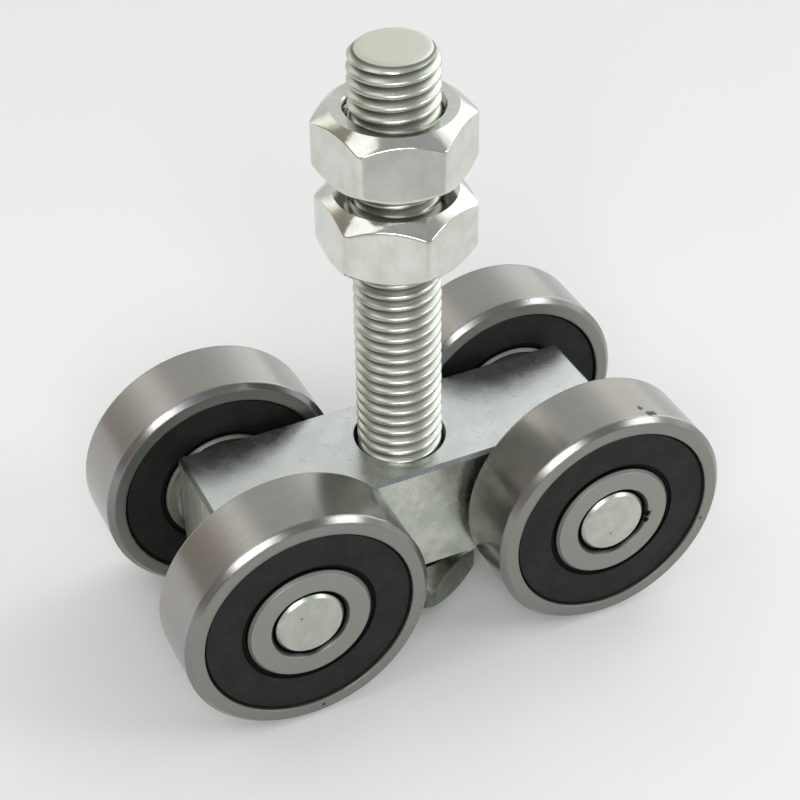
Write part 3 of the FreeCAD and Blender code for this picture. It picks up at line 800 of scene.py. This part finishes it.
def new_light(name, place, target, size, power):
    """A soft rectangular lamp at a place, turned to its target."""
    data = bpy.data.lights.new(name, "AREA")
    data.shape = "RECTANGLE"
    data.size, data.size_y = size
    data.energy = power
    light = bpy.data.objects.new(name, data)
    light.location = place
    aim = Vector(target) - Vector(place)
    light.rotation_euler = aim.to_track_quat("-Z", "Y").to_euler()
    bpy.context.collection.objects.link(light)


def make_floor():
    """A pale table, with painted shade on it a little way in front of the part, which the wheels'
    faces mirror.
    """
    mesh = bpy.data.meshes.new("floor")
    half = FLOOR_HALF
    corners = [(-half, -half, 0), (half, -half, 0), (half, half, 0), (-half, half, 0)]
    mesh.from_pydata(corners, [], [(0, 1, 2, 3)])
    floor = bpy.data.objects.new("floor", mesh)
    bpy.context.collection.objects.link(floor)
    material, tree, shader = new_material("pale_table")
    place = put(tree, "TexCoord").outputs["Object"]
    parts = apart(tree, place)
    back = calc(tree, "ADD", parts["Y"], calc(tree, "MULTIPLY", parts["X"], 0.35))
    cloud = noise(tree, place, 9.0, 4.0, 0.6)
    behind = between(tree, back, -0.10, 0.10, smooth=True)
    colour = tint(tree, behind, (0.864, 0.869, 0.875, 1), (0.866, 0.872, 0.878, 1))
    # Painted shade: the table is darkened from about 80 mm in front of the part.
    front_shade = between(tree, parts["Y"], -0.08, -0.13, 0.0, 0.9, smooth=True)
    colour = tint(tree, front_shade, colour, (0.50, 0.50, 0.50, 1))
    clouded = between(tree, cloud, 0.4, 0.8, 0.0, 0.15)
    colour = tint(tree, clouded, colour, (0.85, 0.85, 0.85, 1))
    dress(tree, shader, colour, 0.75)
    mesh.materials.append(material)


def make_world():
    """Soft room light: grey ceiling, bright wall on the right, dimmer and warmer on the left."""
    world = bpy.data.worlds.new("studio")
    bpy.context.scene.world = world
    world.use_nodes = True
    tree = world.node_tree
    aim = apart(tree, put(tree, "TexCoord").outputs["Generated"])
    azimuth = calc(tree, "DEGREES", calc(tree, "ARCTAN2", aim["X"], aim["Y"]))
    elevation = calc(tree, "DEGREES", calc(tree, "ARCSINE", aim["Z"]))
    ramp = put(tree, "ValToRGB", {"Fac": between(tree, azimuth, -180, 180)})
    stops = ramp.color_ramp.elements
    while len(stops) < len(WALLS):
        stops.new(1.0)
    for stop, (degrees, colour) in zip(stops, WALLS):
        stop.position = (degrees + 180) / 360
        stop.color = colour
    overhead = between(tree, elevation, WALL_END, CEILING_START, smooth=True)
    room = tint(tree, overhead, ramp.outputs["Color"], CEILING)
    tree.links.new(room, tree.nodes["Background"].inputs["Color"])
    tree.nodes["Background"].inputs["Strength"].default_value = 1.0


def make_windows():
    """Soft lamps: behind the camera, in front to the right, and high on the left."""
    for name, (azimuth, elevation, size, power) in WINDOWS.items():
        across, up = math.radians(azimuth), math.radians(elevation)
        level = math.cos(up)
        aim = Vector((math.sin(across) * level, math.cos(across) * level, math.sin(up)))
        new_light(name, aim * WINDOW_DISTANCE, WINDOW_AIM, size, power)


def make_camera():
    """Sets the camera up from its angles, its aim and its distance."""
    azimuth = math.radians(CAMERA_AZIMUTH)
    elevation = math.radians(CAMERA_ELEVATION)
    level = math.cos(elevation)
    back = Vector((math.sin(azimuth) * level, -math.cos(azimuth) * level, math.sin(elevation)))
    right = Vector((math.cos(azimuth), math.sin(azimuth), 0))
    turn = Matrix.Rotation(math.radians(CAMERA_ROLL), 3, back)
    right, up = turn @ right, turn @ back.cross(right)
    data = bpy.data.cameras.new("camera")
    data.lens = CAMERA_LENS
    data.clip_start, data.clip_end = CAMERA_NEAR, CAMERA_FAR
    camera = bpy.data.objects.new("camera", data)
    place = Matrix((right, up, back)).transposed().to_4x4()
    place.translation = (Vector(CAMERA_AIM) + back * CAMERA_DISTANCE) * MM
    camera.matrix_world = place
    bpy.context.collection.objects.link(camera)
    bpy.context.scene.camera = camera


def dress_nodes():
    """Gives each solid of the frame its finish."""
    rings, inner, rubber = ring_steel(), inner_ring_steel(), seal_rubber()
    axle, balls, cage = axle_zinc(), ball_steel(), cage_sheet()
    finishes = {"carriage_block": block_zinc(), "left_axle": axle, "right_axle": axle}
    for wheel in WHEELS:
        finishes.update({
            f"{wheel}_spacer": axle,
            f"{wheel}_outer_ring": rings,
            f"{wheel}_inner_ring": inner,
            f"{wheel}_balls": balls,
            f"{wheel}_cage": cage,
            f"{wheel}_outer_seal": rubber,
            f"{wheel}_inner_seal": rubber,
        })
    for name, material in finishes.items():
        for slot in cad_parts[name].material_slots:
            slot.material = material


bpy.context.scene.view_settings.view_transform = "Standard"
dress_nodes()
make_bolt(thread_zinc())
nut_finish = nut_zinc()
for nut in NUT_TURNS:
    make_nut(nut, nut_finish)
make_floor()
make_world()
make_windows()
make_camera()
